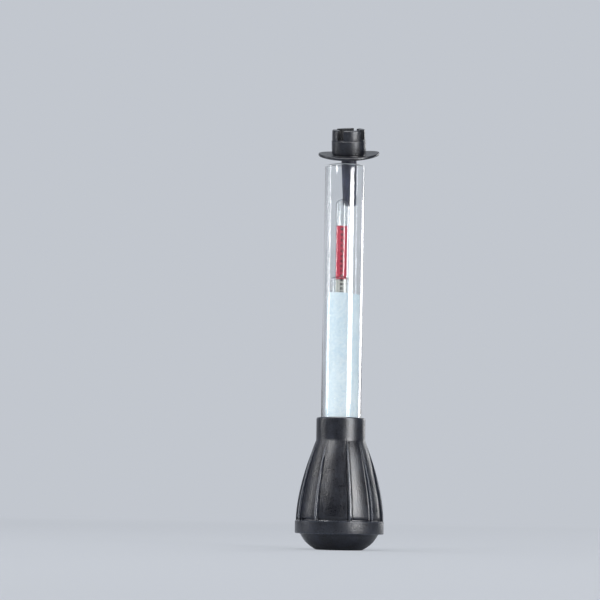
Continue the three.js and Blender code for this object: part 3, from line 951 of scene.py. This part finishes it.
stopper = {  # a line's corner is (out from the plug, up from the flange or the notches, rounding)
    "flangeRadius": 16.35, "flangeThickness": 1.5, "flangeRounding": 0.5,
    "plugRadius": 9.2, "plugTop": 14.97, "plugRounding": 0.6, "swellHeight": 5.2, "swellRounding": 6,
    "rootLine": ((0.5, -0.05, 0.3), (-0.55, -0.35, 0.3), (-0.5, 0.45, 0.25), (-0.1, 0.75, 0.3)),
    "crownLine": ((0, -0.7, 0.25), (-0.4, -0.35, 0.15), (-0.25, 0, 0.25)), "crownTaper": 0.4,
    "cupRadius": 5.55, "cupFoot": 7.2, "cupRounding": 0.4, "cupFillet": 0.6,
    "notchWidth": 3.7, "notchDepth": 5.1, "notchBearing": -32,
    "bore": 2.1, "boreRounding": 0.3, "socketRadius": 4.3, "socketDepth": 5, "socketRounding": 0.2,
    "mouthRounding": 0.25, "pitch": 16.5, "lean": -2, "place": (1.89, -3.303, 209.472),
    "curl": 1.2, "curlTop": 1.7, "curlStart": 0.6, "curlShape": 1.3,
    # the reach and height of the cup and notches, where shade is painted in
    "paintedShadeRadius": 8.2, "paintedShadeFoot": 6.7,
    "edgeRounding": 0.22, "edgeSteps": 3, "arcSteps": 5, "steps": 96,
}
nozzle = {
    "bore": 2.1, "boreRounding": 0.3, "tipRadius": 3.7, "tipRounding": 0.6, "reach": 27,
    "neckRadius": 4.1, "neckHeight": -1, "rootRadius": 4.15, "socket": 4.7, "backRounding": 0.2, "steps": 64,
}


def lean(piece):
    pitch = Matrix.Rotation(math.radians(stopper["pitch"]), 3, "X")
    turn = pitch @ Matrix.Rotation(math.radians(stopper["lean"]), 3, "Y")
    piece.rotation_euler = turn.to_euler()
    piece.location = Vector(stopper["place"]) * mm
    settle(piece)


def curlOf(point):  # the thin flange has taken a set: it curls up at its two sides
    reach, start = math.hypot(point.x, point.y) / mm, stopper["plugRadius"] + stopper["curlStart"]
    if point.z > stopper["curlTop"] * mm or reach < start:
        return 0
    share = (reach - start) / (stopper["flangeRadius"] - start)
    return share ** stopper["curlShape"] * math.sin(math.radians(bearingOf(point))) ** 2


def inPaintedShade(face):  # the cup and the notches' walls, where shade is painted in: the darkest colour and rougher rubber
    reach, height = math.hypot(face.center.x, face.center.y) / mm, face.center.z / mm
    inside = reach < stopper["paintedShadeRadius"] and height > stopper["paintedShadeFoot"]
    return inside and abs(face.normal.z) < 0.5


def lineFrom(height, corners):  # a moulded line round the plug
    return [(stopper["plugRadius"] + out, height + up, rounding) for out, up, rounding in corners]


s = stopper
crownRadius = s["plugRadius"] - s["crownTaper"]
notchFoot = s["plugTop"] - s["notchDepth"]
# Out round the flange, up the plug, over the crown, and down the cup, the bore and the nozzle's socket
stopperPiece = drawLine("stopper_rubber", rounded([
    (s["socketRadius"], 0, s["mouthRounding"]), (s["flangeRadius"], 0, s["flangeRounding"]),
    (s["flangeRadius"], s["flangeThickness"], s["flangeRounding"]),
    *lineFrom(s["flangeThickness"], s["rootLine"]),
    (s["plugRadius"], s["swellHeight"], s["swellRounding"]),
    *lineFrom(notchFoot, s["crownLine"]),
    (crownRadius, s["plugTop"], s["plugRounding"]), (s["cupRadius"], s["plugTop"], s["cupRounding"]),
    (s["cupRadius"], s["cupFoot"], s["cupFillet"]), (s["bore"], s["cupFoot"], s["boreRounding"]),
    (s["bore"], s["socketDepth"], s["socketRounding"]),
    (s["socketRadius"], s["socketDepth"], s["socketRounding"]),
], s["arcSteps"]), closed=True)
spinRound(stopperPiece, [(360, s["steps"])])
for turnBy in (0, 90):
    deselectAll()
    bpy.ops.mesh.primitive_cube_add(size=mm)
    cutter = bpy.context.object
    cutter.scale = (s["notchWidth"], 2 * s["plugRadius"] + 4, s["notchDepth"] * 2)
    cutter.location.z = (s["plugTop"] + 0.001) * mm
    cutter.rotation_euler.z = math.radians(s["notchBearing"] + turnBy)
    settle(cutter)
    applyModifier(stopperPiece, "BOOLEAN", object=cutter, operation="DIFFERENCE", solver="EXACT")
    bpy.data.objects.remove(cutter)
applyModifier(stopperPiece, "BEVEL", width=s["edgeRounding"] * mm, segments=s["edgeSteps"],
              limit_method="ANGLE", angle_limit=math.radians(50))
applyModifier(stopperPiece, "DISPLACE", vertex_group=weigh(stopperPiece, "curl", curlOf), direction="Z",
              mid_level=0, strength=s["curl"] * mm)
stopperPiece.vertex_groups.clear()
# Painted shade in the cup and on the notches' walls, which the rubber's material darkens
paintedShade = stopperPiece.data.attributes.new("paintedShade", "FLOAT", "FACE")
paintedShade.data.foreach_set("value", [float(inPaintedShade(face)) for face in stopperPiece.data.polygons])
lean(stopperPiece)
smooth(stopperPiece, 38)
dress(stopperPiece, makeRubber("stopper_rubber", 1.6))
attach(stopperPiece, "stopper_and_nozzle")
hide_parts("stopper")

n = nozzle
nozzlePiece = turnPiece("nozzle_tube", [
    (n["bore"], -n["reach"], n["boreRounding"]), (n["tipRadius"], -n["reach"], n["tipRounding"]),
    (n["neckRadius"], n["neckHeight"]), (n["rootRadius"], 0),
    (n["rootRadius"], n["socket"], n["boreRounding"]), (n["bore"], n["socket"], n["backRounding"]),
], n["steps"])
lean(nozzlePiece)
dress(nozzlePiece, makeHardRubber())
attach(nozzlePiece, "stopper_and_nozzle")
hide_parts("intake_nozzle")
print("stopper and nozzle")


# Floor, light and camera

studio = {  # metres, as in the view and the lamps
    "pale": colour(0.54, 0.57, 0.62), "floor": colour(0.6, 0.63, 0.68), "sky": colour(0.95, 0.97, 1),
    "front": colour(0.018, 0.023, 0.042), "side": colour(0.085, 0.1, 0.14),
    "sideRange": (-0.3, 0.35), "paleRange": (0.45, 0.9), "ambient": 0.5, "inGlass": 3,
    "floorRadius": 6, "floorRoughness": 0.9, "floorShine": 0.2,
    "nearFloor": 0.15, "farFloor": 1.6, "flatShare": 0.6, "middle": (0, 0, 0.12),
}
view = {"distance": 1.1, "eyeHeight": 0.025, "aim": (-0.023, 0, 0.13236), "pictureWidth": 0.32118,
        "roll": 1.068, "sensor": 36, "clip": (0.01, 50)}
lamps = {
    # azimuth to the camera's right, elevation, distance, width, height, radiance, whether it lights matt
    # surfaces, and whether it shows in the pieces behind the glass
    "key_right": (45, 14, 1.3, 0.5, 1.2, 2.6, True, False),
    "key_right_card": (43, 5, 1.0, 0.42, 0.8, 18, False, True),
    "key_left": (-43, 42, 1.3, 0.35, 0.9, 3.4, True, False),
    "key_left_card": (-52, 34, 1.28, 0.2, 0.55, 20, False, True),
    "far_left": (-95, 14, 1.3, 0.16, 1.2, 9, True, True),
    "top_card": (0, 78, 1.15, 0.9, 0.5, 10, False, True),
    "rim_right": (143, 16, 1.3, 0.18, 1.2, 7, True, True),
    "top": (10, 80, 1.2, 0.7, 0.7, 1.4, True, False),
}


def rayIs(signal, *kinds):  # 1 for a ray of any of these kinds
    rays = [signal.node("LightPath", output=f"Is {kind} Ray") for kind in kinds]
    while len(rays) > 1:
        rays.append(rays[0].maths("MAXIMUM", rays.pop(0), rays.pop(0)))
    return rays[0]


deselectAll()
bpy.ops.mesh.primitive_circle_add(vertices=96, radius=studio["floorRadius"], fill_type="NGON")
floor = bpy.context.object
floor.name = "floor"
material, surface, place = newMaterial(
    "floor", Base_Color=studio["floor"], Roughness=studio["floorRoughness"],
    Specular_IOR_Level=studio["floorShine"])
reach = place.node("VectorMath", {"operation": "LENGTH"}, {0: place}, "Value")
far = reach.between(studio["nearFloor"], studio["farFloor"])
flatness = rayIs(place, "Camera", "Transmission") * (studio["flatShare"] + far * (1 - studio["flatShare"]))
flat = place.node("Emission", sockets={"Color": studio["pale"], "Strength": 1})
mixSurfaces(material.node_tree, surface, flatness, flat)
dress(floor, material)

# The world: even for matt surfaces, pale for the camera, and pale behind and dark in front for gloss and
# glass. Rays that a matt piece sends out through the glass get the even light, brighter by inGlass.
world = bpy.data.worlds.new("world")
world.use_nodes = True
bpy.context.scene.world = world
tree = world.node_tree
worldRay = Signal(tree)
direction = worldRay.node("TexCoord", output="Generated")
away = direction.node("SeparateXYZ", sockets={"Vector": direction}, output="Y")
room = away.between(*studio["sideRange"]).blend(studio["front"], studio["side"])
room = away.between(*studio["paleRange"]).blend(room, studio["pale"])
strength = (rayIs(worldRay, "Transmission") * studio["inGlass"] + 1) * studio["ambient"]
ambient = worldRay.node("Background", sockets={"Color": studio["sky"], "Strength": strength})
shade = rayIs(worldRay, "Camera").blend(room, studio["pale"])
seen = worldRay.node("Background", sockets={"Color": shade, "Strength": 1})
depth = worldRay.node("LightPath", output="Diffuse Depth")
fromMatt = depth.maths("GREATER_THAN", depth, 0.5)
mirrored = rayIs(worldRay, "Camera", "Glossy", "Transmission") * (1 - fromMatt)
mixed = worldRay.node("MixShader", sockets={0: mirrored, 1: ambient, 2: seen})
tree.links.new(mixed.socket, tree.nodes["World Output"].inputs["Surface"])

for name, (azimuth, elevation, distance, width, height, radiance, matt, through) in lamps.items():
    data = bpy.data.lights.new(name, "AREA")
    data.shape, data.size, data.size_y = "RECTANGLE", width, height
    data.energy = radiance * math.pi * width * height
    lamp = bpy.data.objects.new(name, data)
    bpy.context.collection.objects.link(lamp)
    side, up = math.radians(azimuth), math.radians(elevation)
    toLamp = atBearing(side, math.cos(up)) + Vector((0, 0, math.sin(up)))
    lamp.location = Vector(studio["middle"]) + toLamp * distance
    lamp.rotation_euler = toLamp.to_track_quat("Z", "Y").to_euler()
    lamp.visible_camera = False
    lamp.visible_diffuse, lamp.visible_transmission = matt, through
    if through:  # off for rays that a matt piece sends out through the glass, where the world lights it
        data.use_nodes = True
        fresh = 1 - Signal(data.node_tree).node("LightPath", output="Diffuse Depth")
        feed(data.node_tree.nodes["Emission"], "Strength", fresh.maths("MAXIMUM", fresh, 0))

aim = Vector(view["aim"])
eye = Vector((aim.x, -view["distance"], view["eyeHeight"]))
camera = bpy.data.cameras.new("camera")
camera.sensor_width = view["sensor"]
camera.lens = view["sensor"] * (aim - eye).length / view["pictureWidth"]
camera.clip_start, camera.clip_end = view["clip"]
cameraObject = bpy.data.objects.new("camera", camera)
bpy.context.collection.objects.link(cameraObject)
cameraObject.location = eye
roll = Matrix.Rotation(math.radians(view["roll"]), 3, "Z")
cameraObject.rotation_euler = ((aim - eye).to_track_quat("-Z", "Y").to_matrix() @ roll).to_euler()
bpy.context.scene.camera = cameraObject
bpy.context.scene.view_settings.view_transform = "Standard"
